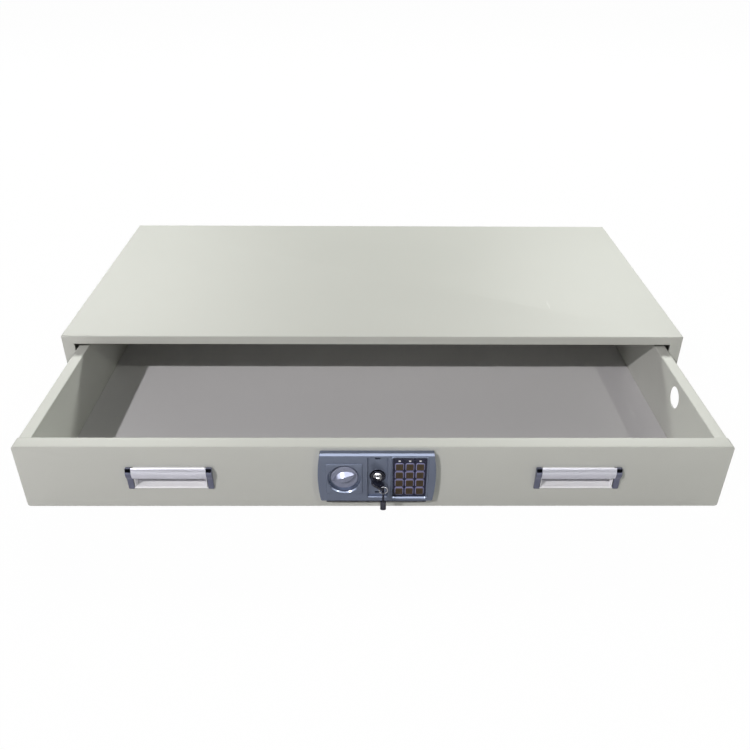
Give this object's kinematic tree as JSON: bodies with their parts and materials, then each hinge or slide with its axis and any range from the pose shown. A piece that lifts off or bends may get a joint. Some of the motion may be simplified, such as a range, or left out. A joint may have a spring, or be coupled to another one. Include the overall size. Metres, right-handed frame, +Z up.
{
  "type": "under desk drawer",
  "caption": "Wide shallow locking steel drawer in a cabinet that fixes under a desk, with recessed pulls, a keypad lock with a turning knob and a key override.",
  "frame": {"origin": "centre of the cabinet's flat underside", "axes": "+X to the right along the cabinet's width seen from the front, -Y out of the front, +Z up"},
  "size_m": [1, 0.7926, 0.14],
  "materials": {
    "powder_coat": "satin light grey powder coat with a fine orange-peel texture",
    "zinc_steel": "bright zinc plate",
    "bright_steel": "nickel-bright turned steel",
    "chrome": "polished",
    "satin_aluminium": "satin anodised",
    "cup_plastic": "pale silver, semi-gloss",
    "lock_plastic": "blue-grey metallic, satin",
    "knob_plastic": "blue-grey metallic, semi-gloss",
    "keypad_black": "near black, satin",
    "key_face": "dark brown with a pale violet border and faint numerals",
    "light_lens": "milky white",
    "circuit_board": "solder mask",
    "black_plastic": "moulded, satin"
  },
  "bodies": {
    "cabinet": {"cabinet_shell": "powder_coat", "cabinet_base": "powder_coat", "cabinet_back": "powder_coat", "slide_bracket_left": "zinc_steel", "slide_bracket_right": "zinc_steel", "slide_outer_left": "zinc_steel", "slide_outer_right": "zinc_steel", "bolt_strike": "zinc_steel"},
    "middle_slide_left": {"slide_middle_left": "zinc_steel"},
    "middle_slide_right": {"slide_middle_right": "zinc_steel"},
    "drawer": {"drawer_floor": "powder_coat", "drawer_side_left": "powder_coat", "drawer_side_right": "powder_coat", "drawer_back": "powder_coat", "front_panel": "powder_coat", "front_inner_cover": "powder_coat", "slide_inner_left": "zinc_steel", "slide_inner_right": "zinc_steel", "handle_cup_left": "cup_plastic", "handle_cup_right": "cup_plastic", "handle_grip_left": "satin_aluminium", "handle_grip_right": "satin_aluminium", "handle_cap_left_a": "chrome", "handle_cap_left_b": "chrome", "handle_cap_right_a": "chrome", "handle_cap_right_b": "chrome", "lock_faceplate": "lock_plastic", "keypad_plate": "keypad_black", "keypad_circuit_board": "circuit_board", "indicator_light_1": "light_lens", "indicator_light_2": "light_lens", "indicator_light_3": "light_lens", "lock_case": "zinc_steel", "battery_cover": "black_plastic", "solenoid": "zinc_steel", "lock_cylinder_housing": "zinc_steel"},
    "knob": {"knob": "knob_plastic"},
    "bolts": {"bolt_carriage": "bright_steel", "bolt_left": "bright_steel", "bolt_right": "bright_steel"},
    "plunger": {"solenoid_plunger": "bright_steel"},
    "key": {"lock_plug": "bright_steel", "lock_cam": "bright_steel", "key_shank": "bright_steel", "key_bow": "black_plastic"},
    "ring": {"key_ring": "bright_steel"},
    "spare_key": {"spare_key_bow": "black_plastic", "spare_key_shank": "bright_steel"},
    "button_1": {"button_1": "key_face"},
    "button_2": {"button_2": "key_face"},
    "button_3": {"button_3": "key_face"},
    "button_4": {"button_4": "key_face"},
    "button_5": {"button_5": "key_face"},
    "button_6": {"button_6": "key_face"},
    "button_7": {"button_7": "key_face"},
    "button_8": {"button_8": "key_face"},
    "button_9": {"button_9": "key_face"},
    "button_clear": {"button_clear": "key_face"},
    "button_0": {"button_0": "key_face"},
    "button_enter": {"button_enter": "key_face"}
  },
  "joints": [
    {"name": "drawer_slide", "type": "slide", "parent": "cabinet", "child": "drawer", "axis": [0, -1, 0], "range_m": [-0.2646, 0.1754]},
    {"name": "middle_slide_left_travel", "type": "slide", "parent": "cabinet", "child": "middle_slide_left", "axis": [0, -1, 0], "range_m": [-0.1323, 0.0877]},
    {"name": "middle_slide_right_travel", "type": "slide", "parent": "cabinet", "child": "middle_slide_right", "axis": [0, -1, 0], "range_m": [-0.1323, 0.0877]},
    {"name": "knob_turn", "type": "hinge", "parent": "drawer", "child": "knob", "pos_m": [-0.0405, -0.5121, 0.0725], "axis": [0, -1, 0], "range_deg": [0, 70]},
    {"name": "bolt_throw", "type": "slide", "parent": "drawer", "child": "bolts", "axis": [0, 0, -1], "range_m": [0, 0.012]},
    {"name": "plunger_pull", "type": "slide", "parent": "drawer", "child": "plunger", "axis": [1, 0, 0], "range_m": [0, 0.003], "stiffness_N_per_m": 60},
    {"name": "key_turn", "type": "hinge", "parent": "drawer", "child": "key", "pos_m": [0.0043, -0.5121, 0.0745], "axis": [0, -1, 0], "range_deg": [0, 90]},
    {"name": "ring_swing", "type": "hinge", "parent": "key", "child": "ring", "pos_m": [0.01176, -0.538, 0.07172], "axis": [0, -1, 0], "range_deg": [-12, 12]},
    {"name": "spare_key_swing", "type": "hinge", "parent": "ring", "child": "spare_key", "pos_m": [0.01176, -0.538, 0.06137], "axis": [1, 0, 0], "range_deg": [-40, 0]},
    {"name": "button_1_press", "type": "slide", "parent": "drawer", "child": "button_1", "axis": [0, 1, 0], "range_m": [0, 0.001], "stiffness_N_per_m": 250},
    {"name": "button_2_press", "type": "slide", "parent": "drawer", "child": "button_2", "axis": [0, 1, 0], "range_m": [0, 0.001], "stiffness_N_per_m": 250},
    {"name": "button_3_press", "type": "slide", "parent": "drawer", "child": "button_3", "axis": [0, 1, 0], "range_m": [0, 0.001], "stiffness_N_per_m": 250},
    {"name": "button_4_press", "type": "slide", "parent": "drawer", "child": "button_4", "axis": [0, 1, 0], "range_m": [0, 0.001], "stiffness_N_per_m": 250},
    {"name": "button_5_press", "type": "slide", "parent": "drawer", "child": "button_5", "axis": [0, 1, 0], "range_m": [0, 0.001], "stiffness_N_per_m": 250},
    {"name": "button_6_press", "type": "slide", "parent": "drawer", "child": "button_6", "axis": [0, 1, 0], "range_m": [0, 0.001], "stiffness_N_per_m": 250},
    {"name": "button_7_press", "type": "slide", "parent": "drawer", "child": "button_7", "axis": [0, 1, 0], "range_m": [0, 0.001], "stiffness_N_per_m": 250},
    {"name": "button_8_press", "type": "slide", "parent": "drawer", "child": "button_8", "axis": [0, 1, 0], "range_m": [0, 0.001], "stiffness_N_per_m": 250},
    {"name": "button_9_press", "type": "slide", "parent": "drawer", "child": "button_9", "axis": [0, 1, 0], "range_m": [0, 0.001], "stiffness_N_per_m": 250},
    {"name": "button_clear_press", "type": "slide", "parent": "drawer", "child": "button_clear", "axis": [0, 1, 0], "range_m": [0, 0.001], "stiffness_N_per_m": 250},
    {"name": "button_0_press", "type": "slide", "parent": "drawer", "child": "button_0", "axis": [0, 1, 0], "range_m": [0, 0.001], "stiffness_N_per_m": 250},
    {"name": "button_enter_press", "type": "slide", "parent": "drawer", "child": "button_enter", "axis": [0, 1, 0], "range_m": [0, 0.001], "stiffness_N_per_m": 250}
  ],
  "couplings": [
    {"joint": "middle_slide_left_travel", "follows": "drawer_slide", "ratio": 0.5},
    {"joint": "middle_slide_right_travel", "follows": "drawer_slide", "ratio": 0.5},
    {"joint": "knob_turn", "follows": "bolt_throw", "rad_per_m": 101.81}
  ]
}
